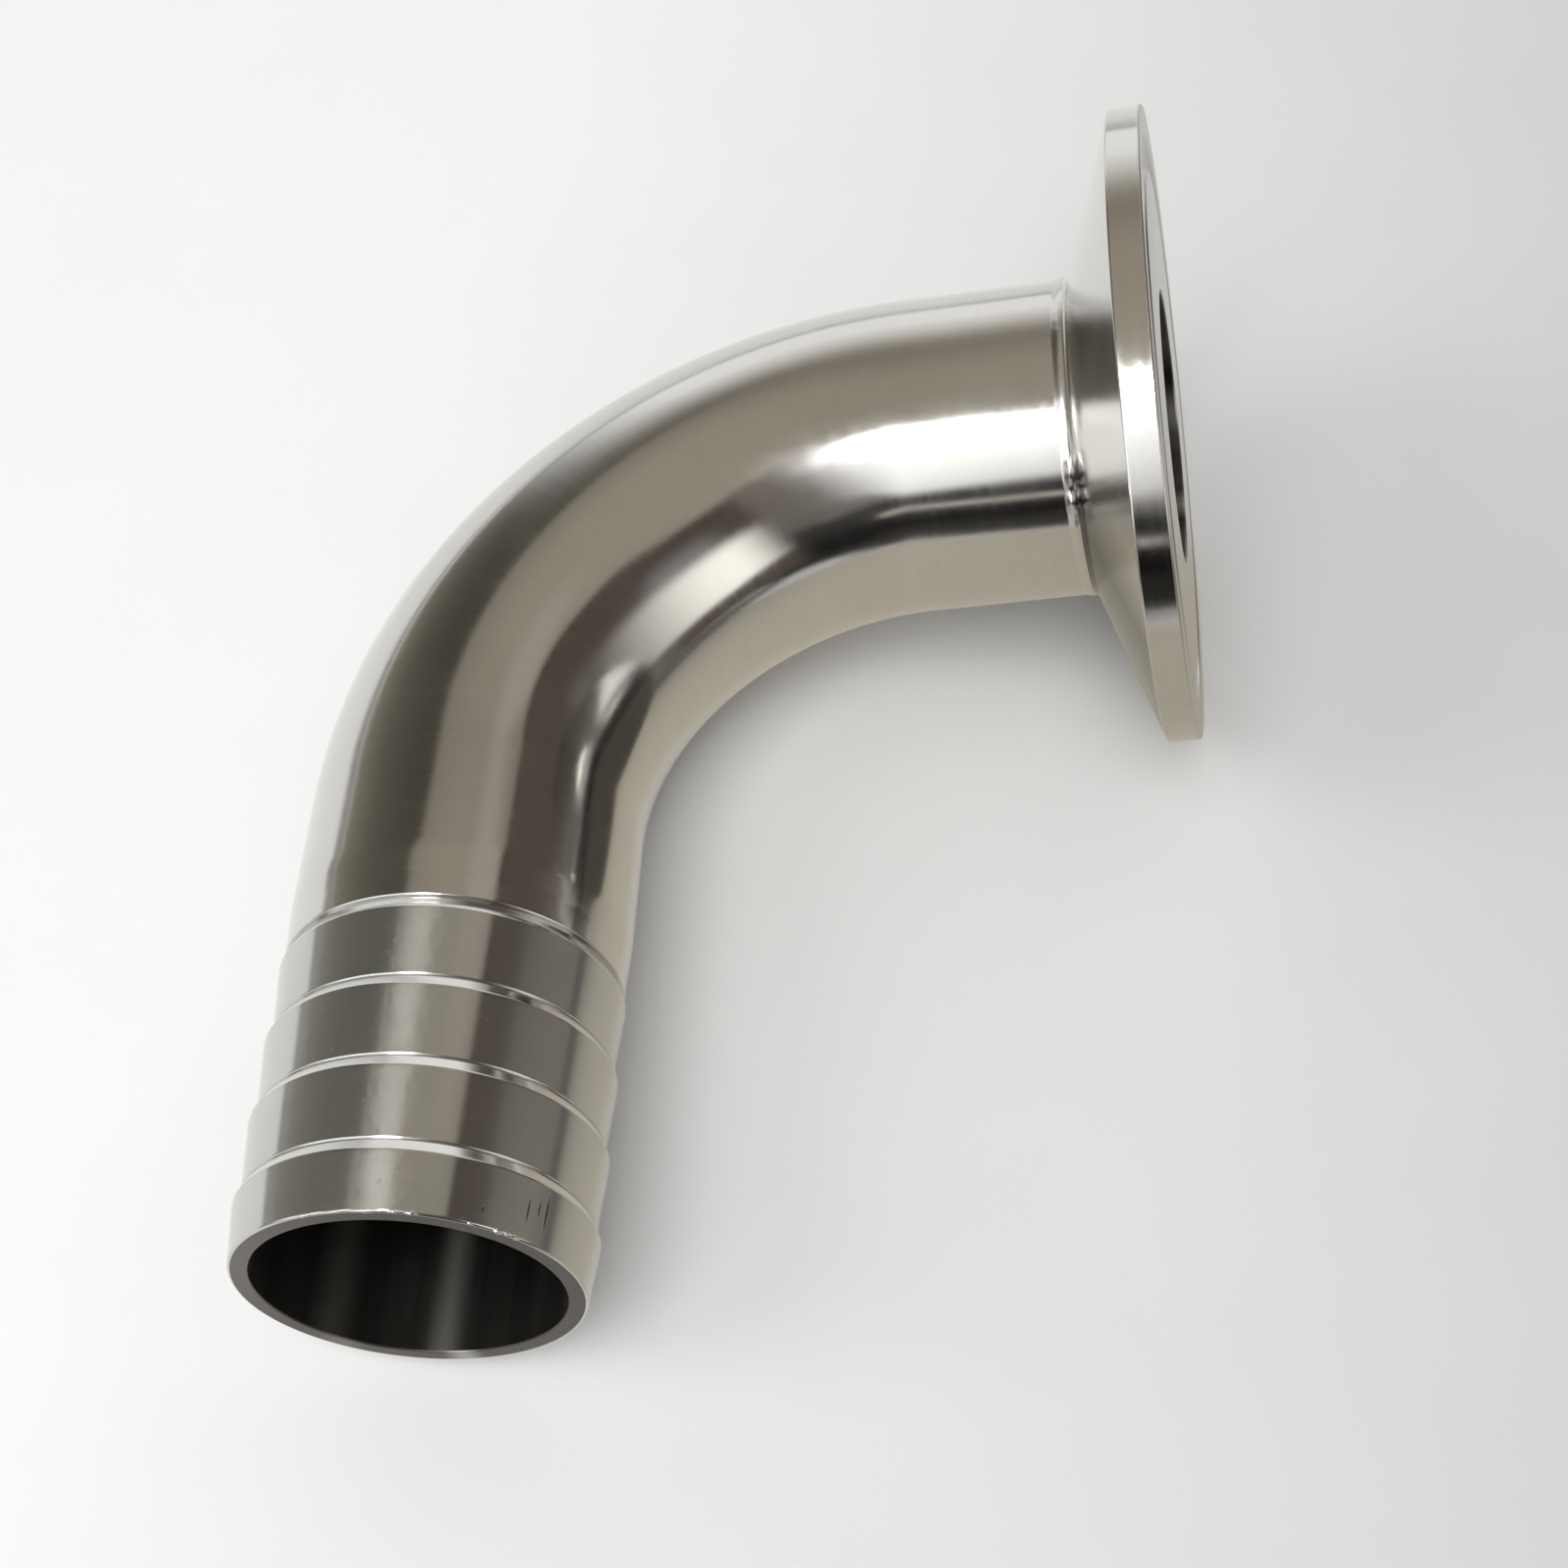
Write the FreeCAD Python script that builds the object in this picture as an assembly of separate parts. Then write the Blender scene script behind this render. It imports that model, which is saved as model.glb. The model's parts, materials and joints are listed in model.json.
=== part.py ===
import FreeCAD, Part
import math
import os

# Barbed elbow: a clamp ferrule, a straight tube, a quarter bend and a hose barb, welded end to end.
# It lies on its side as it comes to rest, on the ferrule's rim and the outside of the bend.
# The barb points along -Y and the ferrule along +X. Millimetres, +Z up, with the ground at Z = 0.

# Tube
tube_diameter = 25.4
wall = 1.85
bend_radius = 34.0
bend_angle = 90.0

# Clamp ferrule: the leg is measured from the end of the bend to the sealing face
ferrule_leg = 20.5
flange_diameter = 50.5
rim_thickness = 2.6
rim_round = 0.2
cone_angle = 20.0
cone_root_fillet = 0.8

# Gasket groove in the sealing face
groove_diameter = 43.5
groove_width = 3.0
groove_depth = 1.2

# Weld seam between the straight tube and the ferrule, a short neck behind the ferrule's cone
neck_length = 1.0
weld_width = 1.3
weld_height = 0.18

# Hose barb: the leg is measured from the end of the bend to the mouth, and the first crest from the mouth
barb_leg = 37.7
ridge_count = 4
ridge_pitch = 6.2
first_crest = 4.2
ridge_depth = 0.48
ridge_back = 1.0
crest_round = 0.3
lead_taper = 3.3
lip_chamfer = 0.2

# Sizes that follow
tube_r = tube_diameter / 2
bore_r = tube_r - wall
flange_r = flange_diameter / 2
root_r = tube_r - ridge_depth
rim_back = ferrule_leg - rim_thickness
cone_root = rim_back - (flange_r - tube_r) * math.tan(math.radians(cone_angle))
weld_middle = cone_root - neck_length
bend_end = 90 + bend_angle

# Directions in the elbow's own plane, with the bend's centre at the origin:
# the ferrule leg runs along X, and the bend turns about Z
ORIGIN = FreeCAD.Vector(0, 0, 0)
X = FreeCAD.Vector(1, 0, 0)
Y = FreeCAD.Vector(0, 1, 0)
Z = FreeCAD.Vector(0, 0, 1)


def turned(points):
    """A ring turned about the X axis from an outline of (along the axis, radius) points."""
    corners = [FreeCAD.Vector(along, radius, 0) for along, radius in points]
    outline = Part.makePolygon(corners + corners[:1])
    return Part.Face(outline).revolve(ORIGIN, X, 360)


def edges_at(shape, along, radius):
    """The round edges of a turned shape at one place along the axis and one radius."""
    found = []
    for edge in shape.Edges:
        if not isinstance(edge.Curve, Part.Circle):
            continue
        at_place = abs(edge.Curve.Center.x - along) < 1e-4
        if at_place and abs(edge.Curve.Radius - radius) < 1e-4:
            found.append(edge)
    return found


def weld_bead():
    """The low rounded bead of weld metal round the tube."""
    left = FreeCAD.Vector(weld_middle - weld_width / 2, tube_r, 0)
    top = FreeCAD.Vector(weld_middle, tube_r + weld_height, 0)
    right = FreeCAD.Vector(weld_middle + weld_width / 2, tube_r, 0)
    inward = FreeCAD.Vector(0, weld_height, 0)
    crown = Part.Arc(left, top, right).toShape()
    sunk = Part.makePolygon([right, right - inward, left - inward, left])
    return Part.Face(Part.Wire([crown] + sunk.Edges)).revolve(ORIGIN, X, 360)


def gasket_groove():
    """The round-bottomed groove in the sealing face, as the ring to cut away."""
    middle = groove_diameter / 2
    inner = FreeCAD.Vector(ferrule_leg, middle - groove_width / 2, 0)
    bottom = FreeCAD.Vector(ferrule_leg - groove_depth, middle, 0)
    outer = FreeCAD.Vector(ferrule_leg, middle + groove_width / 2, 0)
    floor = Part.Arc(inner, bottom, outer).toShape()
    closing = Part.LineSegment(outer, inner).toShape()
    return Part.Face(Part.Wire([floor, closing])).revolve(ORIGIN, X, 360)


def ferrule_side():
    """The straight tube and the clamp ferrule, which meet in the middle of the weld.

    Both run along X, from the end of the bend to the sealing face.
    """
    ring = turned([
        (0, bore_r),
        (ferrule_leg, bore_r),
        (ferrule_leg, flange_r),
        (rim_back, flange_r),
        (cone_root, tube_r),
        (0, tube_r),
    ])
    rim_edges = edges_at(ring, ferrule_leg, flange_r) + edges_at(ring, rim_back, flange_r)
    ring = ring.makeFillet(rim_round, rim_edges)
    ring = ring.makeFillet(cone_root_fillet, edges_at(ring, cone_root, tube_r))
    ring = ring.cut(gasket_groove()).fuse(weld_bead()).removeSplitter()
    before_weld = Part.makeCylinder(flange_r, weld_middle, ORIGIN, X)
    return ring.common(before_weld), ring.cut(before_weld)


def barb_side():
    """The saw-toothed barb, along X from the end of the bend to the mouth."""
    outline = [
        (0, bore_r),
        (barb_leg, bore_r),
        (barb_leg, root_r - lip_chamfer),
        (barb_leg - lip_chamfer, root_r),
    ]
    crests = []
    for ridge in range(ridge_count):
        crest = barb_leg - first_crest - ridge * ridge_pitch
        outline += [(crest, tube_r), (crest - ridge_back, root_r)]
        crests.append(crest)
    taper_start = crests[-1] - ridge_back - lead_taper
    outline += [(taper_start, tube_r), (0, tube_r)]
    ring = turned(outline)
    crest_edges = [edge for crest in crests for edge in edges_at(ring, crest, tube_r)]
    return ring.makeFillet(crest_round, crest_edges)


def bend():
    """The curved tube, from the straight tube's end round to the barb's end."""
    start = Y * bend_radius
    outside = Part.Face(Part.Wire(Part.makeCircle(tube_r, start, X)))
    inside = Part.Face(Part.Wire(Part.makeCircle(bore_r, start, X)))
    return outside.cut(inside).revolve(ORIGIN, Z, bend_angle)


def elbow():
    """The four solids by name, with the bend's centre at the origin."""
    straight, ferrule = ferrule_side()
    for piece in (straight, ferrule):
        piece.translate(Y * bend_radius)
    barb = barb_side()
    barb.rotate(ORIGIN, Z, 180)
    barb.translate(Y * bend_radius)
    barb.rotate(ORIGIN, Z, bend_angle)
    made = {"clamp_ferrule": ferrule, "straight_tube": straight, "bent_tube": bend(), "hose_barb": barb}
    return {name: shape.Solids[0] for name, shape in made.items()}


def centre_of_mass(shapes):
    """Where the pieces balance together, all of them being one metal."""
    volume = sum(shape.Volume for shape in shapes)
    moment = ORIGIN
    for shape in shapes:
        moment = moment + shape.CenterOfMass * shape.Volume
    return moment / volume


def outward(turn):
    """The direction out from the bend's centre, this many degrees round from X."""
    return FreeCAD.Vector(math.cos(math.radians(turn)), math.sin(math.radians(turn)), 0)


def lowest_of_ring(up, centre, along, radius):
    """How high the lowest point of a round section lies, above the bend's centre."""
    return up.dot(centre) - radius * math.sqrt(1 - up.dot(along) ** 2)


def height_of_mass(mass_centre, rise, lean):
    """How high the centre of mass lies with the ferrule leg and the barb leg raised by these degrees."""
    rise = math.radians(rise)
    lean = math.radians(lean)
    up = FreeCAD.Vector(math.cos(lean) * math.sin(rise), -math.sin(lean), math.cos(lean) * math.cos(rise))
    lowest_turn = math.degrees(math.atan2(-up.y, -up.x)) % 360
    lowest_out = outward(max(90, min(bend_end, lowest_turn)))
    barb_out = outward(bend_end)
    barb_along = Z.cross(barb_out)
    crest_centre = barb_out * bend_radius + barb_along * (barb_leg - first_crest)
    ground = min(
        lowest_of_ring(up, X * rim_back + Y * bend_radius, X, flange_r),
        lowest_of_ring(up, lowest_out * bend_radius, Z.cross(lowest_out), tube_r),
        lowest_of_ring(up, crest_centre, barb_along, tube_r),
    )
    return up.dot(mass_centre) - ground


def dip(height, low, high):
    """The value between low and high where a height with one dip is least."""
    while high - low > 1e-9:
        third = (high - low) / 3
        if height(low + third) < height(high - third):
            high -= third
        else:
            low += third
    return (low + high) / 2


def resting_angles(mass_centre):
    """The rise of the ferrule leg and the lean of the barb leg that bring the centre of mass lowest."""
    steepest = 45

    def best_rise(lean):
        return dip(lambda rise: height_of_mass(mass_centre, rise, lean), 0, steepest)

    lean = dip(lambda lean: height_of_mass(mass_centre, best_rise(lean), lean), -steepest, steepest)
    return best_rise(lean), lean


def lay_down(shapes):
    """Lays the elbow on its side as it comes to rest, centred over the origin."""
    rise, lean = resting_angles(centre_of_mass(shapes))
    for shape in shapes:
        shape.rotate(ORIGIN, Y, -rise)
        shape.rotate(ORIGIN, X, -lean)
    box = Part.makeCompound(shapes).optimalBoundingBox(False)
    for shape in shapes:
        shape.translate(FreeCAD.Vector(-box.Center.x, -box.Center.y, -box.ZMin))
    print("ferrule leg rises", round(rise, 3), "degrees, barb leg leans up", round(lean, 3), "degrees")


os.makedirs("parts", exist_ok=True)
pieces = elbow()
lay_down(list(pieces.values()))
for name, piece in pieces.items():
    piece.exportStep("parts/" + name + ".step")
    print(name, len(piece.Solids), "solid of", round(piece.Volume, 1), "mm3, valid:", piece.isValid())
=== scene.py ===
import json
import math

import bpy
from mathutils import Euler, Matrix, Vector, noise


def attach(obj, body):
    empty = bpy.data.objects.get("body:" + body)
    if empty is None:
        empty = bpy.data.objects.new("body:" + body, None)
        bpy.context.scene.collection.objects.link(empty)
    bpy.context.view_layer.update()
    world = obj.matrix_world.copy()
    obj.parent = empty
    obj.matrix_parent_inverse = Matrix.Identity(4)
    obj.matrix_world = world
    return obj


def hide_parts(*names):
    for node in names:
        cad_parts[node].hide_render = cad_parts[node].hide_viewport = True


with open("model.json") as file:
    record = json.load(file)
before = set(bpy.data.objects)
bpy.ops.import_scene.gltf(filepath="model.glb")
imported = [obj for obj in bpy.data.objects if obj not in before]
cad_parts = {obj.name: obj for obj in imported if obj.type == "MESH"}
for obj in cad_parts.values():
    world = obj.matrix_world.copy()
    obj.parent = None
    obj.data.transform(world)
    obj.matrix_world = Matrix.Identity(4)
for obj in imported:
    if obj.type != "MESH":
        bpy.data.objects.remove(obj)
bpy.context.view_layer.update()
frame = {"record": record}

# Welded elbow in polished stainless steel: clamp ferrule, weld, bent tube, hose barb.
# Sizes in the dictionaries are millimetres and degrees, the mesh is metres.
mm = 0.001

# where the elbow lies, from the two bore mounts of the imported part
mounts = {mount["name"]: mount for mount in frame["record"]["mounts"]}


def boreMount(name):
    mount = mounts[name]
    return Vector(mount["pos_m"]), Vector(mount["axis"]), mount["dims"]["length_mm"] * mm


ferruleMiddle, ferruleAxis, ferruleLeg = boreMount("clamp_bore")
barbMiddle, barbAxis, barbLeg = boreMount("barb_bore")
bendStart = ferruleMiddle - ferruleAxis * ferruleLeg / 2
bendEnd = barbMiddle - barbAxis * barbLeg / 2
bendRadius = (bendStart - bendEnd).dot(ferruleAxis)
bendCentre = bendStart + barbAxis * bendRadius
sideAxis = barbAxis.cross(ferruleAxis)

tube = {
    "radius": 12.7,
    "bore": mounts["barb_bore"]["dims"]["r_mm"],
    "ringPoints": 256,     # points round every ring, the same on each piece so that the joins close
    "bendStep": 0.75,      # degrees of bend from one ring to the next
    "arcStep": 12,         # degrees from one ring to the next in a rounded corner
    "tolerance": 1e-6,     # mm, between places that are the same
}

# places along the centreline, in mm from the mouth of the barb
barbEnd = barbLeg / mm
bendLength = bendRadius * math.pi / 2 / mm
legStart = barbEnd + bendLength
faceEnd = legStart + ferruleLeg / mm


def centreline(along):
    # centre, direction onward and direction out of the bend at a place along the tube
    if along <= barbEnd:
        return bendEnd + barbAxis * (barbEnd - along) * mm, -barbAxis, -ferruleAxis
    if along >= legStart:
        return bendStart + ferruleAxis * (along - legStart) * mm, ferruleAxis, -barbAxis
    turn = (along - barbEnd) / bendLength * math.pi / 2
    out = -ferruleAxis * math.cos(turn) - barbAxis * math.sin(turn)
    onward = ferruleAxis * math.sin(turn) - barbAxis * math.cos(turn)
    return bendCentre + out * bendRadius, onward, out


print("centreline from mouth to face", round(faceEnd, 2), "mm")


def newObject(name, points, faces, materials):
    mesh = bpy.data.meshes.new(name)
    mesh.from_pydata(points, [], faces)
    for material in materials:
        mesh.materials.append(material)
    made = bpy.data.objects.new(name, mesh)
    bpy.context.scene.collection.objects.link(made)
    return made


def newPiece(name, points, faces, materials, places, runs):
    # a smooth piece of the elbow. For its finish, every point keeps its place on the unbent tube,
    # in mm, and the tube's direction there
    piece = newObject(name, points, faces, materials)
    piece.data.polygons.foreach_set("use_smooth", [True] * len(faces))
    for attribute, vectors in (("tubePlace", places), ("tubeRun", runs)):
        layer = piece.data.attributes.new(attribute, "FLOAT_VECTOR", "POINT")
        layer.data.foreach_set("vector", [value for vector in vectors for value in vector])
    return piece


# outlines: corners of the section as (along, radius, rounding, finish of the run that follows),
# gone round with the metal on the right
def roundedOutline(corners):
    points = [Vector((corner[0], corner[1])) for corner in corners]
    stations = []
    for index, (_, _, rounding, finish) in enumerate(corners):
        here = points[index]
        before = (here - points[index - 1]).normalized()
        after = (points[(index + 1) % len(points)] - here).normalized()
        outBefore = Vector((-before.y, before.x))
        outAfter = Vector((-after.y, after.x))
        if not rounding:
            stations.append((here, outBefore, outAfter, finish))
            continue
        turn = math.atan2(before.x * after.y - before.y * after.x, before.dot(after))
        inside = -1 if turn > 0 else 1
        first = here - before * rounding * math.tan(abs(turn) / 2)
        centre = first - outBefore * rounding * inside
        steps = max(2, math.ceil(abs(math.degrees(turn)) / tube["arcStep"]))
        for step in range(steps + 1):
            out = Matrix.Rotation(turn * step / steps, 2) @ outBefore
            stations.append((centre + out * rounding * inside, out, out, finish))
    return stations


def followBend(stations):
    # extra rings where a run goes round the bend
    ringGap = bendLength * tube["bendStep"] / 90
    split = []
    for index, (here, outBefore, outAfter, finish) in enumerate(stations):
        split.append((here, outBefore, outAfter, finish))
        there = stations[(index + 1) % len(stations)][0]
        low, high = sorted((here.x, there.x))
        if low >= legStart - tube["tolerance"] or high <= barbEnd + tube["tolerance"]:
            continue
        pieces = round((high - low) / ringGap)
        for piece in range(1, pieces):
            split.append((here.lerp(there, piece / pieces), outAfter, outAfter, finish))
    return split


def turnedPiece(name, stations):
    # a closed mesh swept round the centreline, with the outline's own normals
    count = tube["ringPoints"]
    angles = [2 * math.pi * step / count for step in range(count)]
    points, places, runs, rings = [], [], [], []
    for here, *_ in stations:
        centre, onward, out = centreline(here.x)
        ring = [out * math.cos(angle) + sideAxis * math.sin(angle) for angle in angles]
        points += [centre + radial * here.y * mm for radial in ring]
        places += [(here.x, here.y * math.cos(angle), here.y * math.sin(angle)) for angle in angles]
        runs += [onward] * count
        rings.append((onward, ring))
    finishes = list(dict.fromkeys(station[3] for station in stations))
    faces, normals, slots = [], [], []
    for index, (_, _, outHere, finish) in enumerate(stations):
        following = (index + 1) % len(stations)
        outThere = stations[following][1]
        for step in range(count):
            beside = (step + 1) % count
            corners = ((index, step, outHere), (index, beside, outHere),
                       (following, beside, outThere), (following, step, outThere))
            faces.append([at * count + place for at, place, _ in corners])
            for at, place, out in corners:
                onward, ring = rings[at]
                normals.append((onward * out.x + ring[place] * out.y).normalized())
            slots.append(finishes.index(finish))
    piece = newPiece(name, points, faces, [steel[finish] for finish in finishes], places, runs)
    piece.data.polygons.foreach_set("material_index", slots)
    piece.data.normals_split_custom_set(normals)
    return piece


def beadPiece(name, sections, closed, run):
    # a bead laid round the tube: a loop of (along, radius) points at one turn after another,
    # with the turn counted in degrees from the outside of the bend
    points, places, faces = [], [], []
    for turn, section in sections:
        cosine, sine = math.cos(math.radians(turn)), math.sin(math.radians(turn))
        for along, radius in section:
            centre, onward, out = centreline(along)
            points.append(centre + (out * cosine + sideAxis * sine) * radius * mm)
            places.append((along, radius * cosine, radius * sine))
    count, loop = len(sections), len(sections[0][1])
    for step in range(count if closed else count - 1):
        beside = (step + 1) % count
        for place in range(loop):
            following = (place + 1) % loop
            faces.append((step * loop + place, beside * loop + place,
                          beside * loop + following, step * loop + following))
    if not closed:
        faces.append(list(range(loop)))
        faces.append(list(reversed(range((count - 1) * loop, count * loop))))
    return newPiece(name, points, faces, [steel["weld"]], places, [run] * len(points))


# nodes
def newFinish(name):
    material = bpy.data.materials.new(name)
    material.use_nodes = True
    material.node_tree.nodes.clear()
    return material


def addNode(material, kind, inputs=None, **settings):
    node = material.node_tree.nodes.new("ShaderNode" + kind)
    for key, value in settings.items():
        setattr(node, key, value)
    for key, value in (inputs or {}).items():
        if isinstance(value, bpy.types.NodeSocket):
            material.node_tree.links.new(value, node.inputs[key])
        else:
            node.inputs[key].default_value = value
    return node


def combine(material, operation, first, second):
    return addNode(material, "Math", {0: first, 1: second}, operation=operation).outputs[0]


def weightedSum(material, *terms):
    total = 0.0
    for value, weight in terms:
        added = addNode(material, "Math", {0: value, 1: weight, 2: total}, operation="MULTIPLY_ADD")
        total = added.outputs[0]
    return total


def remap(material, value, low, high, toLow, toHigh, ease="LINEAR"):
    inputs = {"Value": value, "From Min": low, "From Max": high, "To Min": toLow, "To Max": toHigh}
    return addNode(material, "MapRange", inputs, interpolation_type=ease).outputs[0]


def mixTone(material, share, colour, tone):
    return addNode(material, "Mix", {"Factor": share, "A": colour, "B": (*tone, 1)},
                   data_type="RGBA").outputs["Result"]


def rampOf(material, value, stops):
    # a colour ramp with two stops of (position, tone)
    ramp = addNode(material, "ValToRGB", {"Fac": value})
    for stop, (position, tone) in zip(ramp.color_ramp.elements, stops):
        stop.position = position
        stop.color = (*tone, 1)
    return ramp.outputs["Color"]


def tubeNoise(material, alongScale, roundScale, shift, detail, roughness):
    # noise on the unbent tube, per mm along it and round it
    place = addNode(material, "Attribute", attribute_name="tubePlace")
    scaled = addNode(material, "Mapping", {
        "Vector": place.outputs["Vector"], "Location": (shift, shift, shift),
        "Scale": (alongScale, roundScale, roundScale)})
    return addNode(material, "TexNoise", {"Vector": scaled.outputs[0], "Scale": 1.0, "Detail": detail,
                                          "Roughness": roughness}).outputs["Fac"]


# steel
grain = {
    "lines": (0.0, 3.0, 0.6),                   # shift, detail, roughness of the noise
    "waves": (0.10, 0.12, 7.0, 1.0, 0.5),       # the same, after its scale along the tube and round it
    "scratches": (0.9, 6.0, 3.0, 2.0, 0.7),
    "smudges": (0.16, 0.16, 11.0, 4.0, 0.6),
    "range": (0.3, 0.7),                        # where most of a noise lies
    "toneRange": (0.25, 0.75),                  # the same, from the dark tone to the light one
    "lineGloss": 0.02,                          # how much the lines change the roughness, up and down
    "scratchFrom": (0.68, 0.74),                # higher keeps fewer scratches
    "nickEdge": (0.3, 1.0),
    "nickDepth": 0.02,                          # mm
    # inside the nicks the colour goes most of the way to a near-black tone: painted shade in the dents
    "nickShare": 0.8,
    "nickPaintedShadeTone": (0.06, 0.05, 0.045),
    # tone of the painted highlights and reflections on the lip and in the bore
    "paintedHighlightTone": (0.86, 0.84, 0.78),
}


def nickSpots(material, look, parts, turned):
    # 1 inside each nick and 0 around it
    spots = 0.0
    for along, turn, halfLength, halfWidth in look["nicks"]:
        aside = combine(material, "DIVIDE", combine(material, "SUBTRACT", parts["X"], along), halfLength)
        around = combine(material, "MULTIPLY", combine(material, "SUBTRACT", turned, math.radians(turn)),
                         tube["radius"] / halfWidth)
        away = combine(material, "ADD", combine(material, "MULTIPLY", aside, aside),
                       combine(material, "MULTIPLY", around, around))
        spots = combine(material, "MAXIMUM", spots, remap(material, away, *grain["nickEdge"], 1.0, 0.0))
    return spots


def steelTone(material, look, parts, turned, blotches, nicks):
    colour = rampOf(material, blotches, zip(grain["toneRange"], (look["darkTone"], look["lightTone"])))
    # painted shade: the colour darkens below the given heights, standing in for dark reflections low down
    if look["paintedLowShade"]:
        low, high, share = look["paintedLowShade"]
        left = remap(material, parts["Z"], low, high, share, 1.0)
        colour = addNode(material, "VectorMath", {0: colour, "Scale": left}, operation="SCALE").outputs[0]
    # painted shade: darker colour inside the nicks
    if look["nicks"]:
        colour = mixTone(material, combine(material, "MULTIPLY", nicks, grain["nickShare"]), colour,
                         grain["nickPaintedShadeTone"])
    # painted highlights and reflections: runs of brighter tone at given turns round the tube
    for turn, halfWidth, share in look["paintedHighlightRuns"]:
        away = combine(material, "ABSOLUTE", combine(material, "SUBTRACT", turned, math.radians(turn)), 0.0)
        near = remap(material, away, 0.0, math.radians(halfWidth), share, 0.0, "SMOOTHSTEP")
        colour = mixTone(material, near, colour, grain["paintedHighlightTone"])
    return colour


def addStreak(material, look, parts, colour, surface):
    # part of the light drawn out along the tube by fine lines that run round it
    run = addNode(material, "Attribute", attribute_name="tubeRun")
    along = addNode(material, "VectorTransform", {"Vector": run.outputs["Vector"]}, vector_type="VECTOR",
                    convert_from="OBJECT", convert_to="WORLD")
    drawnOut = addNode(material, "BsdfPrincipled", {
        "Base Color": colour, "Metallic": 1.0, "Roughness": look["streakRoughness"],
        "Anisotropic": 1.0, "Tangent": along.outputs[0]})
    share = remap(material, parts["X"], *look["streakFrom"], 0.0, look["streak"])
    return addNode(material, "MixShader", {0: share, 1: surface, 2: drawnOut.outputs["BSDF"]}).outputs[0]


def steelFinish(name, look):
    # lines round the tube, faint waves, hairline scratches, smudges and nicks
    material = newFinish(name)
    place = addNode(material, "Attribute", attribute_name="tubePlace")
    parts = addNode(material, "SeparateXYZ", {0: place.outputs["Vector"]}).outputs
    turned = combine(material, "ARCTAN2", parts["Z"], parts["Y"])
    lines = tubeNoise(material, look["linesPerMm"], look["linesRound"], *grain["lines"])
    waves = tubeNoise(material, *grain["waves"])
    scratches = remap(material, tubeNoise(material, *grain["scratches"]), *grain["scratchFrom"], 0.0, 1.0)
    smudges = tubeNoise(material, *grain["smudges"])
    nicks = nickSpots(material, look, parts, turned)

    height = weightedSum(material, (lines, look["lineHeight"]), (waves, look["waveHeight"]),
                         (scratches, -look["scratchDepth"]), (nicks, -grain["nickDepth"]))
    bump = addNode(material, "Bump", {"Height": height, "Strength": 1.0, "Distance": mm})
    smudgeGloss = remap(material, smudges, *grain["range"], -look["smudge"], look["smudge"])
    lineGloss = remap(material, lines, *grain["range"], look["roughness"] - grain["lineGloss"],
                      look["roughness"] + grain["lineGloss"])
    rough = combine(material, "ADD", smudgeGloss, lineGloss)
    blotches = weightedSum(material, (smudges, 1 - look["lineTone"]), (lines, look["lineTone"]))
    colour = steelTone(material, look, parts, turned, blotches, nicks)
    surface = addNode(material, "BsdfPrincipled", {
        "Base Color": colour, "Metallic": 1.0, "Roughness": rough,
        "Normal": bump.outputs["Normal"]}).outputs["BSDF"]
    if look["streak"]:
        surface = addStreak(material, look, parts, colour, surface)
    addNode(material, "OutputMaterial", {"Surface": surface})
    return material


bendLook = {
    "linesPerMm": 3.0,
    "linesRound": 0.05,
    "lineTone": 0.4,
    "lineHeight": 0.0006,      # mm
    "waveHeight": 0.02,
    "scratchDepth": 0.0005,
    "roughness": 0.13,
    "smudge": 0.02,
    "darkTone": (0.61, 0.60, 0.575),
    "lightTone": (0.67, 0.66, 0.635),
    "streak": 0.0,             # share of light drawn out along the tube
    "streakRoughness": 0.3,
    "streakFrom": (-2, -1),    # along the tube, in mm, where that share sets in
    "paintedLowShade": None,             # (low, high, share): painted shade, darker down to this share below these heights in mm
    "paintedHighlightRuns": (),          # (turn round the tube, half width, share) of runs with a brighter tone: painted highlights and reflections
    "nicks": (),               # (along, turn, half length, half width) of small dents, in mm and degrees, darkened with painted shade
}
drawnLook = dict(bendLook, streak=0.15, streakFrom=(legStart - 16, legStart - 5))
turnedLook = dict(bendLook, linesPerMm=5.0, lineHeight=0.0008, waveHeight=0.01, roughness=0.12, streak=0.22,
                  darkTone=(0.545, 0.55, 0.53), lightTone=(0.60, 0.605, 0.585),
                  nicks=((2.1, 147, 0.9, 0.1), (2.5, 151, 0.6, 0.09), (2.5, 154, 1.4, 0.12),
                         (2.0, 100, 0.22, 0.12), (5.7, 97, 0.2, 0.07), (1.2, 132, 0.2, 0.12)))
# the lip's dark tones are painted shade, far darker than the steel; its bright runs are painted highlights
lipLook = dict(bendLook, linesPerMm=4.0, lineHeight=0.002, roughness=0.34, smudge=0.05,
               darkTone=(0.045, 0.038, 0.034), lightTone=(0.115, 0.10, 0.09),
               paintedHighlightRuns=((30, 65, 0.08), (-90, 9, 0.4), (-45, 12, 0.1)))
# the bore's dark tones are painted shade inside the tube; its bright runs are painted reflections along it
boreLook = dict(bendLook, linesPerMm=0.02, linesRound=0.4, lineTone=0.85, lineHeight=0.004, roughness=0.32,
                darkTone=(0.08, 0.078, 0.07), lightTone=(0.20, 0.19, 0.17),
                paintedHighlightRuns=((-38, 13, 0.5), (-83, 9, 0.8)))
faceLook = dict(bendLook, linesPerMm=6.0, lineHeight=0.0015, roughness=0.3)
# painted shade low on the ferrule's cone, where its reflections are dark
coneLook = dict(bendLook, roughness=0.17, paintedLowShade=(3, 10, 0.24))
weldLook = dict(bendLook, linesPerMm=1.5, lineHeight=0.0015, waveHeight=0.015, roughness=0.22)

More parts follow.
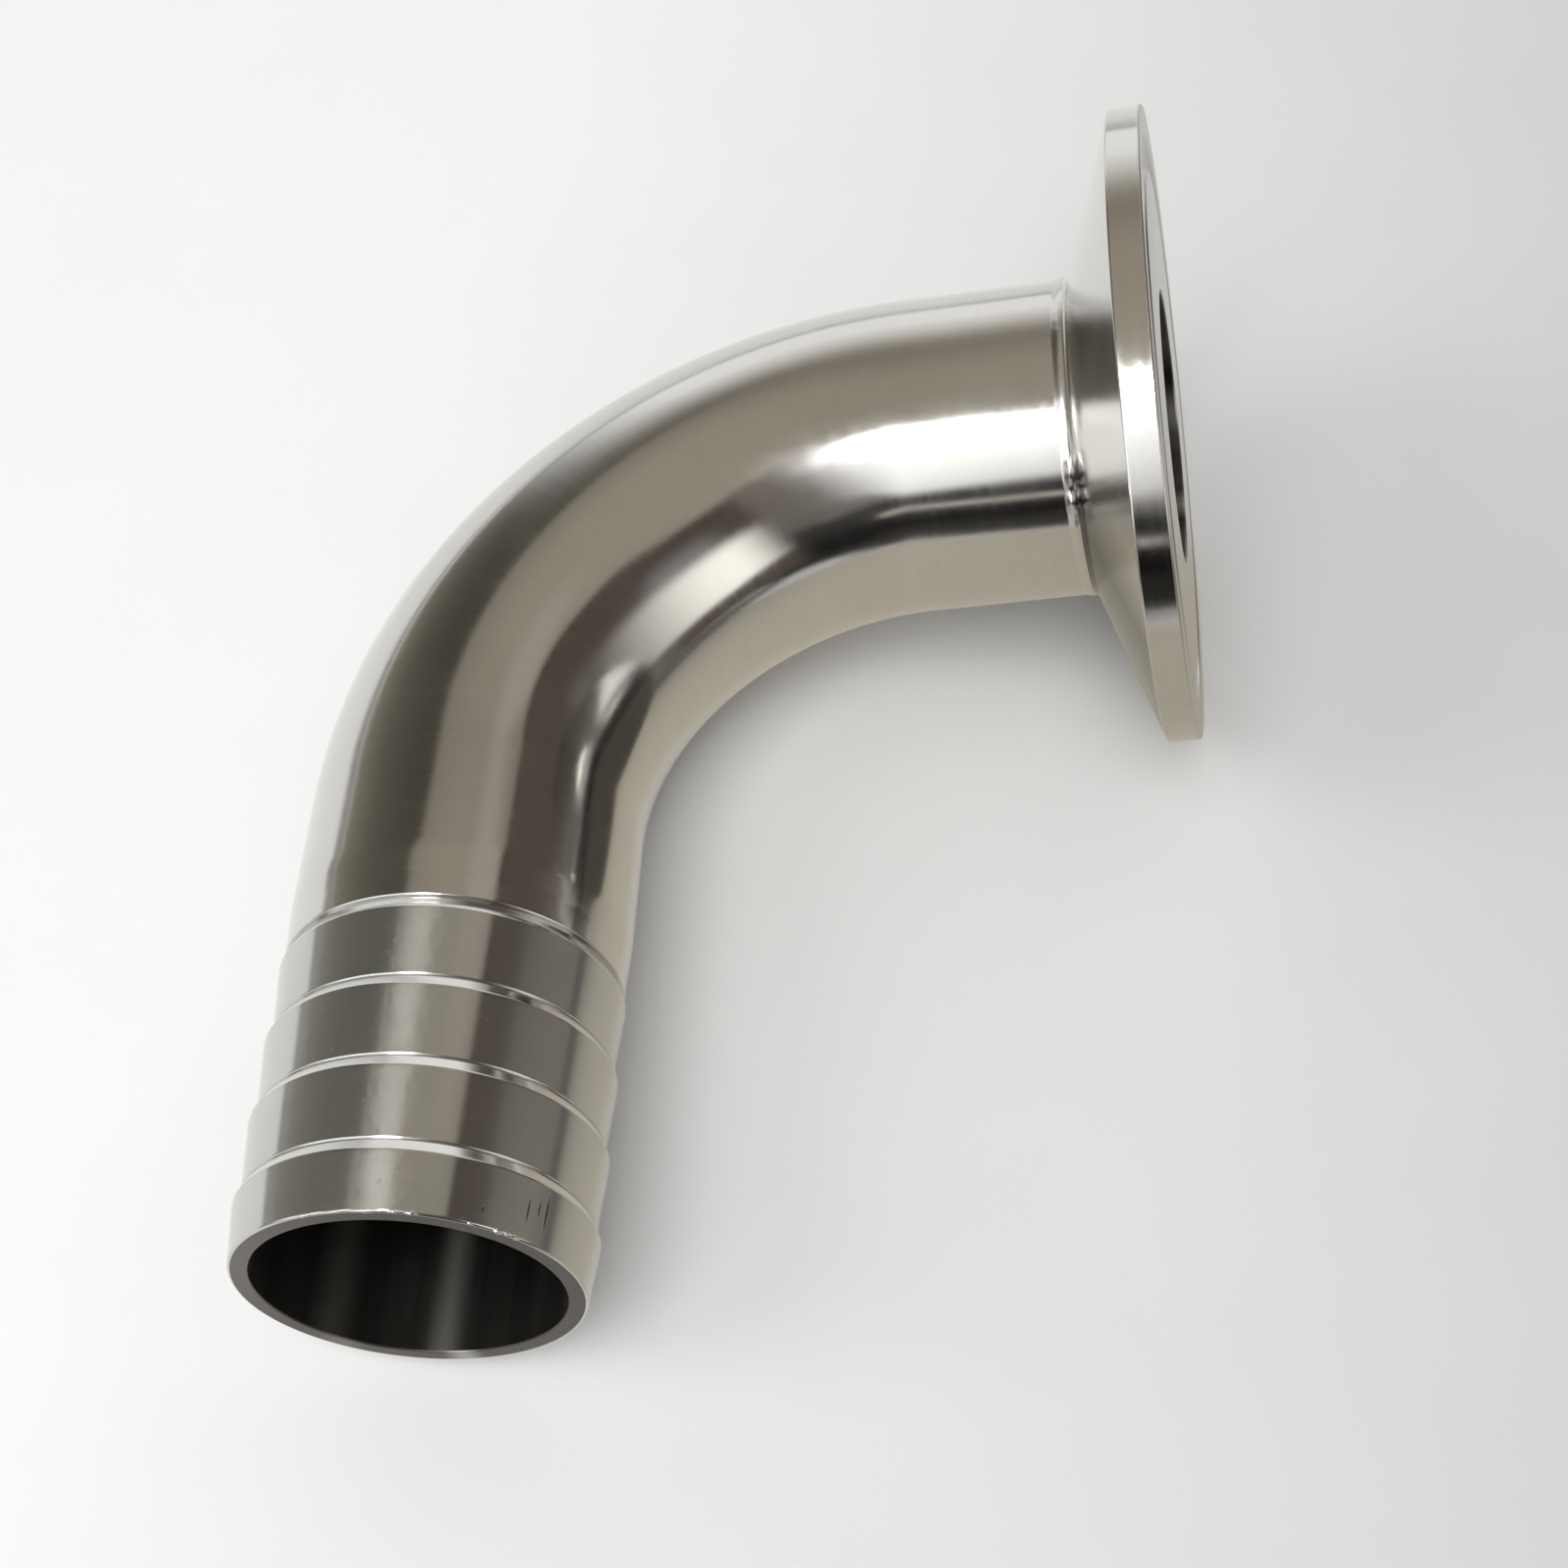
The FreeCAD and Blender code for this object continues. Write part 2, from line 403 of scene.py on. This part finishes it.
steel = {
    "polished": steelFinish("polishedSteel", bendLook),
    "drawn": steelFinish("drawnSteel", drawnLook),
    "turned": steelFinish("turnedSteel", turnedLook),
    "lip": steelFinish("cutLipSteel", lipLook),
    "bore": steelFinish("boreSteel", boreLook),
    "face": steelFinish("sealingFaceSteel", faceLook),
    "cone": steelFinish("coneSteel", coneLook),
    "weld": steelFinish("weldSteel", weldLook),
}
print("finishes made:", len(steel))


# hose barb
barb = {
    "ridges": 4,
    "firstCrest": 4.2,     # from the mouth
    "pitch": 6.2,
    "depth": 0.48,
    "back": 1.0,
    "crestRound": 0.3,
    "undercut": 0.05,      # below the root, where the next ridge starts with a small step
    "step": (0.08, 0.10),
    "stepRound": 0.12,
    "footRound": 0.03,
    "lastUndercut": 0.1,
    "taper": [(0.12, 0.21), (2.0, 0.13), (4.2, 0.0)],     # from the last root: along, below the tube
    "taperRound": 20,
    "lipRound": 0.2,
    "boreEdge": 0.12,
}


def hoseBarb():
    root = tube["radius"] - barb["depth"]
    stepLength, stepHeight = barb["step"]
    footRound, stepRound = barb["footRound"], barb["stepRound"]
    corners = [(0, root, barb["lipRound"], "turned")]
    for ridge in range(barb["ridges"]):
        crest = barb["firstCrest"] + ridge * barb["pitch"]
        foot = crest + barb["back"]
        corners.append((crest, tube["radius"], barb["crestRound"], "polished"))
        if ridge < barb["ridges"] - 1:
            corners.append((foot, root - barb["undercut"], footRound, "turned"))
            corners.append((foot + stepLength, root - barb["undercut"] + stepHeight, stepRound, "turned"))
    corners.append((foot, root - barb["lastUndercut"], footRound, "turned"))
    for (along, below), rounding in zip(barb["taper"], (stepRound, barb["taperRound"], barb["taperRound"])):
        corners.append((foot + along, tube["radius"] - below, rounding, "polished"))
    corners += [
        (barbEnd, tube["radius"], 0, "polished"),
        (barbEnd, tube["bore"], 0, "bore"),
        (0, tube["bore"], barb["boreEdge"], "lip"),
    ]
    piece = turnedPiece("hose_barb_turned", roundedOutline(corners))
    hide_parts("hose_barb")
    return piece


# clamp ferrule
ferrule = {
    "rimRadius": 25.25,
    "rimThickness": 2.6,
    "rimRound": 0.2,
    "coneAngle": 20,
    "coneRoot": 0.8,
    "boreEdge": 0.15,
    "grooveRadius": 21.75,
    "grooveWidth": 3.0,
    "grooveDepth": 1.2,
    "grooveEdge": 0.35,
    "grooveSteps": 12,
    "grooveBlend": 0.3,
}
rimBack = faceEnd - ferrule["rimThickness"]
coneHeight = ferrule["rimRadius"] - tube["radius"]
coneFoot = rimBack - coneHeight * math.tan(math.radians(ferrule["coneAngle"]))

# weld between the straight tube and the ferrule
weld = {
    "neck": 0.45,          # from the foot of the ferrule's cone to the middle of the weld
    "width": 1.5,
    "height": 0.13,
    "ripples": 70,
    "rippleBow": 2.2,      # how far each ripple bows back at the bead's edges
    "rippleHeight": 0.004,
    "rippleShare": 0.6,    # of that height in even ripples, beside the uneven part
    "unevenScale": (0.4, 1.5),     # per degree round the bead, and across it
    # where the weld began and ended: degrees round the tube, place across the bead, height, half width
    "lumps": [(145, 0.1, 0.34, 0.9), (156, -0.3, 0.30, 0.6), (151, 0.5, -0.30, 0.6), (150, 0.0, 0.12, 1.6)],
    "lumpSpread": 0.6,
    "edgeSunk": 0.012,     # below the tube's surface, at the bead's edges and on its hidden side
    "backSunk": 0.5,
    "steps": 1024,
    "rows": 14,
}
weldMiddle = coneFoot - weld["neck"]


# bend and straight tube, up to the middle of the weld
def bentTube():
    piece = turnedPiece("bent_tube_polished", followBend(roundedOutline([
        (barbEnd, tube["radius"], 0, "drawn"),
        (legStart, tube["radius"], 0, "drawn"),
        (weldMiddle, tube["radius"], 0, "bore"),
        (weldMiddle, tube["bore"], 0, "bore"),
        (legStart, tube["bore"], 0, "bore"),
        (barbEnd, tube["bore"], 0, "bore"),
    ])))
    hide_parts("bent_tube", "straight_tube")
    return piece


def gasketGroove():
    # corners of the round-bottomed groove, from its outer edge to its inner one
    middle, half, depth = ferrule["grooveRadius"], ferrule["grooveWidth"] / 2, ferrule["grooveDepth"]
    radius = (half * half + depth * depth) / 2 / depth
    reach = math.asin(half / radius)
    corners = [(faceEnd, middle + half, ferrule["grooveEdge"], "face")]
    for step in range(1, ferrule["grooveSteps"]):
        angle = reach * (1 - 2 * step / ferrule["grooveSteps"])
        corners.append((faceEnd - depth + radius * (1 - math.cos(angle)), middle + radius * math.sin(angle),
                        ferrule["grooveBlend"], "face"))
    corners.append((faceEnd, middle - half, ferrule["grooveEdge"], "face"))
    return corners


def clampFerrule():
    piece = turnedPiece("clamp_ferrule_polished", roundedOutline([
        (weldMiddle, tube["radius"], 0, "drawn"),
        (coneFoot, tube["radius"], ferrule["coneRoot"], "cone"),
        (rimBack, ferrule["rimRadius"], ferrule["rimRound"], "polished"),
        (faceEnd, ferrule["rimRadius"], ferrule["rimRound"], "face"),
        *gasketGroove(),
        (faceEnd, tube["bore"], ferrule["boreEdge"], "bore"),
        (weldMiddle, tube["bore"], 0, "bore"),
    ]))
    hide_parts("clamp_ferrule")
    return piece


def weldHeight(turn, across):
    # of the bead over its edges, with ripples and lumps
    ripple = math.sin(weld["ripples"] * math.radians(turn) + weld["rippleBow"] * across * across)
    roundScale, acrossScale = weld["unevenScale"]
    uneven = noise.noise(Vector((turn * roundScale, across * acrossScale, 0.0)))
    height = weld["height"] + weld["rippleHeight"] * (ripple * weld["rippleShare"] + uneven)
    for lumpTurn, lumpAcross, lumpHeight, halfWidth in weld["lumps"]:
        away = math.radians(turn - lumpTurn) * tube["radius"] / halfWidth
        height += lumpHeight * math.exp(-away ** 2 - ((across - lumpAcross) / weld["lumpSpread"]) ** 2)
    return max(0.0, height) * math.cos(math.pi / 2 * across) ** 2


def weldBead():
    half = weld["width"] / 2
    edge, back = tube["radius"] - weld["edgeSunk"], tube["radius"] - weld["backSunk"]
    sections = []
    for step in range(weld["steps"]):
        turn = 360 * step / weld["steps"]
        section = []
        for row in range(weld["rows"] + 1):
            across = 2 * row / weld["rows"] - 1
            section.append((weldMiddle + across * half, edge + weldHeight(turn, across)))
        sections.append((turn, section + [(weldMiddle + half, back), (weldMiddle - half, back)]))
    return beadPiece("weld_bead", sections, True, ferruleAxis)


# torn metal left along the top of the mouth's outer edge
burrs = {
    "span": (62, 152),           # degrees round the tube
    # each bump: turn, half width in degrees, radius
    "bumps": [(76.5, 2.5, 0.15), (86, 3.0, 0.13), (97, 4.5, 0.18), (105, 1.5, 0.12), (111, 2.2, 0.15),
              (129, 0.9, 0.11), (138.2, 1.4, 0.22), (141.5, 0.8, 0.13), (144.5, 1.4, 0.19)],
    "fine": 0.02,                # radius between the bumps, and how much it varies
    "rough": 0.03,
    "uneven": 0.5,               # how much a bump's radius varies, as a share
    "unevenScale": (0.8, 0.9),   # per degree, between the bumps and on them
    "place": (0.08, 0.07),       # behind the mouth, below the ridge's edge
    "steps": 540,
    "sides": 8,
}


def burrSize(turn):
    fineScale, bumpScale = burrs["unevenScale"]
    size = burrs["fine"] + max(0.0, burrs["rough"] * noise.noise(Vector((turn * fineScale, 0.0, 2.0))))
    for middle, width, radius in burrs["bumps"]:
        bump = radius * math.exp(-((turn - middle) / width) ** 2)
        size = max(size, bump * (1 + burrs["uneven"] * noise.noise(Vector((turn * bumpScale, 3.0, 0.0)))))
    return size


def lipBurrs():
    low, high = burrs["span"]
    behind, below = burrs["place"]
    rimRadius = tube["radius"] - barb["depth"] - below
    sections = []
    for step in range(burrs["steps"] + 1):
        turn = low + (high - low) * step / burrs["steps"]
        size = burrSize(turn)
        angles = [-2 * math.pi * side / burrs["sides"] for side in range(burrs["sides"])]
        sections.append((turn, [(behind + size * math.cos(angle), rimRadius + size * math.sin(angle))
                                for angle in angles]))
    return beadPiece("lip_burrs", sections, False, -barbAxis)


for piece in (hoseBarb(), bentTube(), clampFerrule(), weldBead(), lipBurrs()):
    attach(piece, "root")
    print("made", piece.name, len(piece.data.polygons), "faces")


# studio
studio = {
    "floorSize": 6.0,                       # metres
    "floorTone": (0.935, 0.935, 0.93),
    "paintedFloorShade": (0.61, 0.61, 0.60),        # tone on the near right: painted shade, as if the light fell off
    "fadeAlong": (1.0, -0.2, 0.0),
    "fadeFrom": (-45, 110),                 # mm in that direction
    "speckle": (60.0, 3.0, 0.1),            # scale, detail, share of the fade
    "floorRough": 0.9,
    "floorGloss": 0.1,
    "roomTone": (0.415, 0.415, 0.412),      # light on the floor
    "skyStops": [                           # what the metal sees: height, brightness, warmth
        (0.0, 1.10, 0.0),
        (0.26, 1.08, 0.0),
        (0.34, 0.93, 0.1),
        (0.44, 0.76, 0.3),
        (0.53, 0.50, 0.6),
        (0.62, 0.32, 0.9),
        (0.70, 0.29, 1.0),
        (0.79, 0.34, 1.0),
        (0.88, 0.39, 1.0),
        (1.0, 0.40, 1.0),
    ],
    "warmTone": (1.0, 0.90, 0.74),
    "middle": 25,                           # mm above the floor, where lamps and cards are placed from
    "aim": 20,                              # mm above the floor, where the lamps point
    "cardGrid": (48, 16),
}
lamps = {
    "front_key": {"turn": 202, "rise": 62, "away": 1.1, "size": (0.6, 0.6), "glow": 6.5},
    "left_fill": {"turn": 256, "rise": 40, "away": 1.0, "size": (0.45, 0.45), "glow": 3.2},
}
# curved cards that only the metal sees, each between a foot and a top line of (turn, rise) corners:
# turn is degrees from +Y towards +X, rise is degrees up from level, away is metres. glow is at the left and
# right end of the foot and then of the top, fall above 1 keeps the foot's glow low down, soft is the fade in
# degrees at left, right, foot and top
cards = {
    "left_wall": {
        "foot": [(-112, -19), (-23, -19)],
        "top": [(-112, 54), (-62, 51), (-35, 46), (-28, 43), (-23, 38)],
        "away": 0.70, "glow": (0.70, 0.50, 0.19, 0.05), "fall": 3.5, "soft": (6, 15, 12, 5),
        "tone": (1.0, 0.93, 0.74)},
    "left_shade": {
        "foot": [(195, -12), (252, -12)],
        "top": [(195, 18), (252, 20)],
        "away": 0.72, "glow": (0.04, 0.08, 0.10, 0.14), "soft": (10, 8, 0, 6), "tone": (1.0, 0.86, 0.72)},
    "right_wall": {
        "foot": [(24, -9), (168, -9)],
        "top": [(24, 30), (30, 44), (36, 54), (42, 59), (48, 62), (54, 64), (65, 67), (80, 70), (168, 72)],
        "away": 1.20, "glow": (0.11, 0.10, 0.11, 0.08), "soft": (6, 4, 0, 6), "tone": (1.0, 0.78, 0.64)},
    "right_shade": {
        "foot": [(27, 26), (33, 38), (40, 46), (50, 53), (65, 58), (80, 62), (112, 63)],
        "top": [(27, 35), (33, 47), (40, 55), (50, 61), (65, 66), (80, 70), (112, 71)],
        "away": 1.15, "glow": (0.05, 0.05, 0.05, 0.05), "soft": (6, 22, 8, 3), "tone": (1.0, 0.80, 0.68)},
    "right_haze": {
        "foot": [(54, -6), (112, -6)],
        "top": [(54, 46), (112, 50)],
        "away": 1.10, "glow": (0.28, 0.28, 0.13, 0.13), "soft": (12, 30, 3, 12), "tone": (1.0, 0.90, 0.78)},
    "upper_haze": {
        "foot": [(95, 38), (142, 38)],
        "top": [(95, 62), (142, 62)],
        "away": 1.05, "glow": (0.30, 0.30, 0.22, 0.22), "soft": (14, 14, 2, 14), "tone": (1.0, 0.98, 0.95)},
    "ceiling_glow": {
        "foot": [(2, 42), (50, 50)],
        "top": [(2, 76), (50, 78)],
        "away": 1.30, "glow": (0.45, 0.45, 0.45, 0.45), "soft": (16, 18, 6, 14), "tone": (1.0, 0.89, 0.76)},
    "right_window": {
        "foot": [(71, 6), (130, 7), (158, 12)],
        "top": [(71, 47), (158, 47)],
        "away": 1.00, "glow": (1.5, 1.5, 1.5, 1.5), "soft": (66, 22, 4, 11), "tone": (1.0, 0.98, 0.92)},
    "front_wall": {
        "foot": [(149, 14), (205, 14)],
        "top": [(149, 74), (205, 74)],
        "away": 0.80, "glow": (0.14, 0.14, 0.23, 0.23), "soft": (6, 0, 14, 8), "tone": (1.0, 0.88, 0.78)},
    "front_shade": {
        "foot": [(149, -14), (208, -14)],
        "top": [(149, 28), (208, 28)],
        "away": 0.75, "glow": (0.0, 0.0, 0.01, 0.01), "soft": (10, 0, 0, 10), "tone": (1.0, 1.0, 1.0)},
    "front_window": {
        "foot": [(172, 27), (184, 25), (190, 20), (196, 15), (208, 12), (216, -3), (259, -3)],
        "top": [(172, 67), (215, 66), (259, 60)],
        "away": 0.69, "glow": (1.6, 1.6, 1.75, 1.75), "soft": (32, 5, 8, 4), "tone": (0.99, 1.0, 1.0)},
    "front_bar": {
        "foot": [(199, 49.4), (244, 49.4)],
        "top": [(199, 52.8), (244, 52.8)],
        "away": 0.66, "glow": (0.3, 0.3, 0.3, 0.3), "soft": (12, 4, 0.6, 0.6), "tone": (1.0, 1.0, 0.98)},
    "front_lamp": {
        "foot": [(204, 53), (236, 53)],
        "top": [(204, 66), (212, 65), (224, 62.5), (236, 59.5)],
        "away": 0.65, "glow": (46, 46, 46, 46), "soft": (6, 5, 2, 2.5), "tone": (0.99, 1.0, 1.0)},
    "front_line": {
        "foot": [(180, 8.5), (205, 8.5)],
        "top": [(180, 12.5), (205, 12.5)],
        "away": 0.60, "glow": (0.8, 0.8, 0.8, 0.8), "soft": (3, 4, 1, 1), "tone": (1.0, 0.93, 0.85)},
}
# patches on the floor that only the metal sees, painted shade and painted light over the floor in its
# reflections, in mm, with a glow at -X and +X and soft edges at -X, +X, -Y and +Y. cover below 1 lets part
# of the floor through, turn is degrees about +Z
patches = {
    "left_patch": {
        "x": (-800, -140), "y": (-300, 250),
        "glow": (0.36, 0.36), "soft": (0, 20, 0, 0), "tone": (1.0, 0.97, 0.92)},
    "right_patch": {
        "x": (100, 1000), "y": (-300, 600),
        "glow": (0.15, 0.15), "soft": (50, 0, 0, 0), "tone": (1.0, 0.97, 0.92)},
    "front_patch": {
        "x": (60, 1500), "y": (-900, -57), "turn": -40,
        "glow": (0.0, 0.0), "soft": (20, 0, 0, 15), "tone": (1.0, 1.0, 1.0)},
    "inner_patch": {
        "x": (-12, 200), "y": (-85, 45), "cover": 0.85,
        "glow": (0.59, 0.05), "soft": (15, 60, 20, 18), "tone": (1.0, 0.91, 0.74)},
    "near_patch": {
        "x": (-70, 50), "y": (-700, -72), "cover": 0.9,
        "glow": (0.03, 0.03), "soft": (25, 35, 0, 16), "tone": (1.0, 0.9, 0.8)},
    "back_patch": {
        "x": (-70, 40), "y": (28, 300), "cover": 0.85,
        "glow": (0.88, 0.88), "soft": (20, 6, 7, 30), "tone": (1.0, 0.995, 0.98)},
}
patchLift = (0.3, 0.1)     # mm above the floor, and from one patch to the next


def floor():
    material = newFinish("paleFloor")
    place = addNode(material, "TexCoord").outputs["Object"]
    scale, detail, share = studio["speckle"]
    speckle = addNode(material, "TexNoise", {"Vector": place, "Scale": scale, "Detail": detail})
    # painted shade: the floor's tone darkens along fadeAlong, standing in for light that falls off
    across = addNode(material, "VectorMath", {0: place, 1: studio["fadeAlong"]}, operation="DOT_PRODUCT")
    fade = remap(material, across.outputs["Value"], *[value * mm for value in studio["fadeFrom"]], 0.0, 1.0)
    shade = rampOf(material, weightedSum(material, (fade, 1.0), (speckle.outputs["Fac"], share)),
                   ((0.0, studio["floorTone"]), (1.0, studio["paintedFloorShade"])))
    shader = addNode(material, "BsdfPrincipled", {"Base Color": shade, "Roughness": studio["floorRough"],
                                                  "Specular IOR Level": studio["floorGloss"]})
    addNode(material, "OutputMaterial", {"Surface": shader.outputs["BSDF"]})
    half = studio["floorSize"] / 2
    corners = [(-half, -half, 0), (half, -half, 0), (half, half, 0), (-half, half, 0)]
    newObject("pale_floor", corners, [(0, 1, 2, 3)], [material])


def sky():
    # even light for the floor, the room's own tones for the metal
    world = bpy.data.worlds.new("softRoom")
    bpy.context.scene.world = world
    world.use_nodes = True
    world.node_tree.nodes.clear()
    direction = addNode(world, "SeparateXYZ", {0: addNode(world, "TexCoord").outputs["Generated"]})
    ramp = addNode(world, "ValToRGB", {"Fac": direction.outputs["Z"]})
    stops = ramp.color_ramp.elements
    for index, (height, bright, warmth) in enumerate(studio["skyStops"]):
        stop = stops[index] if index < 2 else stops.new(height)
        stop.position = height
        stop.color = (*[bright * (1 + (tone - 1) * warmth) for tone in studio["warmTone"]], 1)
    even = addNode(world, "Background", {"Color": (*studio["roomTone"], 1)})
    seen = addNode(world, "Background", {"Color": ramp.outputs["Color"]})
    mix = addNode(world, "MixShader", {0: addNode(world, "LightPath").outputs["Is Glossy Ray"],
                                       1: even.outputs[0], 2: seen.outputs[0]})
    addNode(world, "OutputWorld", {"Surface": mix.outputs[0]})


def towards(turn, rise, away):
    # a place this far from the elbow's middle
    turn, rise = math.radians(turn), math.radians(rise)
    flat = math.cos(rise) * away
    height = studio["middle"] * mm + math.sin(rise) * away
    return Vector((math.sin(turn) * flat, math.cos(turn) * flat, height))


def addLamps():
    for name, lamp in lamps.items():
        light = bpy.data.lights.new(name, "AREA")
        light.shape = "RECTANGLE"
        light.size, light.size_y = lamp["size"]
        light.energy = lamp["glow"] * math.pi * light.size * light.size_y
        holder = bpy.data.objects.new(name, light)
        holder.location = towards(lamp["turn"], lamp["rise"], lamp["away"])
        aim = Vector((0, 0, studio["aim"] * mm)) - holder.location
        holder.rotation_euler = aim.to_track_quat("-Z", "Y").to_euler()
        holder.visible_camera = False
        holder.visible_glossy = False
        bpy.context.scene.collection.objects.link(holder)


def glowFinish(name, card, across, glow):
    # emission between foot and top, fading out at the four edges
    material = newFinish(name)
    material.cycles.emission_sampling = "NONE"
    attribute = addNode(material, "Attribute", attribute_name="cardPlace")
    place = addNode(material, "SeparateXYZ", {0: attribute.outputs["Vector"]}).outputs
    shown = card.get("cover", 1.0)
    edges = (("X", across[0], 1), ("X", across[1], -1), ("Y", 0, 1), ("Z", 0, 1))
    for (axis, edge, inward), width in zip(edges, card["soft"]):
        if width:
            inside = remap(material, place[axis], edge, edge + inward * width, 0.0, 1.0, "SMOOTHSTEP")
            shown = combine(material, "MULTIPLY", shown, inside)
    height = combine(material, "ADD", place["Y"], place["Z"])
    low = combine(material, "POWER", combine(material, "DIVIDE", place["Z"], height), card.get("fall", 1))
    footGlow = remap(material, place["X"], *across, glow[0], glow[1])
    topGlow = remap(material, place["X"], *across, glow[2], glow[3])
    strength = remap(material, low, 0.0, 1.0, topGlow, footGlow)
    light = addNode(material, "Emission", {"Color": (*card["tone"], 1), "Strength": strength})
    clear = addNode(material, "BsdfTransparent")
    mix = addNode(material, "MixShader", {0: shown, 1: clear.outputs[0], 2: light.outputs[0]})
    addNode(material, "OutputMaterial", {"Surface": mix.outputs[0]})
    return material


def lineAt(corners, across):
    # height of a line of corners at this place
    for (left, leftHeight), (right, rightHeight) in zip(corners, corners[1:]):
        if across <= right:
            break
    return leftHeight + (rightHeight - leftHeight) * (across - left) / (right - left)


def glowCard(name, foot, top, placeAt, material):
    # a grid between two lines, seen by reflections alone
    wide, tall = studio["cardGrid"]
    points, places, faces = [], [], []
    for row in range(tall + 1):
        for column in range(wide + 1):
            x = foot[0][0] + (foot[-1][0] - foot[0][0]) * column / wide
            low, high = lineAt(foot, x), lineAt(top, x)
            y = low + (high - low) * row / tall
            points.append(placeAt(x, y))
            places += (x, y - low, high - y)
    for row in range(tall):
        for column in range(wide):
            first = row * (wide + 1) + column
            faces.append((first, first + 1, first + wide + 2, first + wide + 1))
    card = newObject(name, points, faces, [material])
    card.data.attributes.new("cardPlace", "FLOAT_VECTOR", "POINT").data.foreach_set("vector", places)
    for kind in ("camera", "diffuse", "transmission", "volume_scatter", "shadow"):
        setattr(card, "visible_" + kind, False)


def addCards():
    for name, card in cards.items():
        foot, top = card["foot"], card["top"]
        material = glowFinish(name, card, (foot[0][0], foot[-1][0]), card["glow"])
        glowCard(name, foot, top, lambda turn, rise: towards(turn, rise, card["away"]), material)
    for level, (name, patch) in enumerate(patches.items()):
        material = glowFinish(name, patch, patch["x"], patch["glow"] * 2)
        turned = Matrix.Rotation(math.radians(patch.get("turn", 0)), 3, "Z")
        height = patchLift[0] + patchLift[1] * level
        foot, top = [[(x, y) for x in patch["x"]] for y in patch["y"]]
        glowCard(name, foot, top, lambda x, y: turned @ Vector((x, y, height)) * mm, material)


floor()
sky()
addLamps()
addCards()
print("studio lit:", len(lamps), "lamps,", len(cards), "cards and", len(patches), "patches")

# camera
cameraShot = {
    "place": (-0.339, -103.781, 170.991),   # mm
    "tilt": 32.073,                         # up from straight down
    "turn": -0.186,
    "roll": 3.891,
    "lens": 54.653,
    "sensor": 36,
    "nearest": 10,                          # mm, what lies closer isn't shown
}
lens = bpy.data.cameras.new("main_camera")
lens.lens = cameraShot["lens"]
lens.sensor_width = cameraShot["sensor"]
lens.clip_start = cameraShot["nearest"] * mm
camera = bpy.data.objects.new("main_camera", lens)
camera.location = Vector(cameraShot["place"]) * mm
aimed = Euler((math.radians(cameraShot["tilt"]), 0, math.radians(cameraShot["turn"]))).to_matrix()
camera.rotation_euler = (aimed @ Matrix.Rotation(math.radians(cameraShot["roll"]), 3, "Z")).to_euler()
bpy.context.scene.collection.objects.link(camera)
bpy.context.scene.camera = camera
bpy.context.scene.view_settings.view_transform = "Standard"
